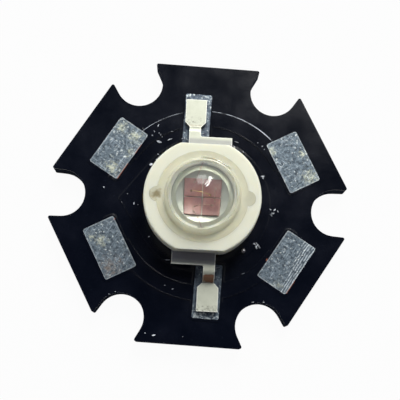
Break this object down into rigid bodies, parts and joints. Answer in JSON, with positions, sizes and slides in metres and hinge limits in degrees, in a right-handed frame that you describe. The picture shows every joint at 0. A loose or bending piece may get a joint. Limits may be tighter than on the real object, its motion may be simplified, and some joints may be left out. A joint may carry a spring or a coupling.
{
  "type": "high power led",
  "caption": "Star-shaped metal-core circuit board carrying a round-bodied power emitter with a clear dome lens, bent leads and solder pads.",
  "frame": {"origin": "centre of the star board on its back face", "axes": "+Z out of the board towards the lens, +Y towards the back lead pad and square to a flat edge of the star, +X towards a screw notch"},
  "size_m": [0.021, 0.02, 0.0071],
  "materials": {
    "aluminium": "rolled sheet with sheared edges",
    "dielectric": "filled epoxy",
    "copper": "etched foil",
    "solder_mask": "cured black ink, satin gloss",
    "tin": "hot levelled tin with fine scratches",
    "silver_plate": "satin silver plate on copper",
    "housing": "moulded ivory polyphthalamide",
    "adhesive": "silver filled epoxy",
    "chip": "polished semiconductor",
    "gold": "drawn gold wire",
    "silicone": "clear gel",
    "lens": "clear moulded polycarbonate"
  },
  "bodies": {
    "root": {"aluminium_base": "aluminium", "dielectric_layer": "dielectric", "thermal_copper": "copper", "back_copper": "copper", "front_copper": "copper", "solder_mask": "solder_mask", "wire_pad_back_left": "tin", "wire_pad_back_right": "tin", "wire_pad_front_left": "tin", "wire_pad_front_right": "tin", "lead_pad_back": "tin", "lead_pad_front": "tin", "lead_solder_back": "tin", "lead_solder_front": "tin", "slug_solder": "tin", "heat_slug": "silver_plate", "emitter_body": "housing", "lead_back": "silver_plate", "lead_front": "silver_plate", "chip_adhesive": "adhesive", "chip_back_left": "chip", "chip_back_right": "chip", "chip_front_right": "chip", "chip_front_left": "chip", "bond_wire_in": "gold", "bond_wire_back": "gold", "bond_wire_right": "gold", "bond_wire_front": "gold", "bond_wire_out": "gold", "silicone_gel": "silicone", "lens": "lens"}
  },
  "joints": []
}
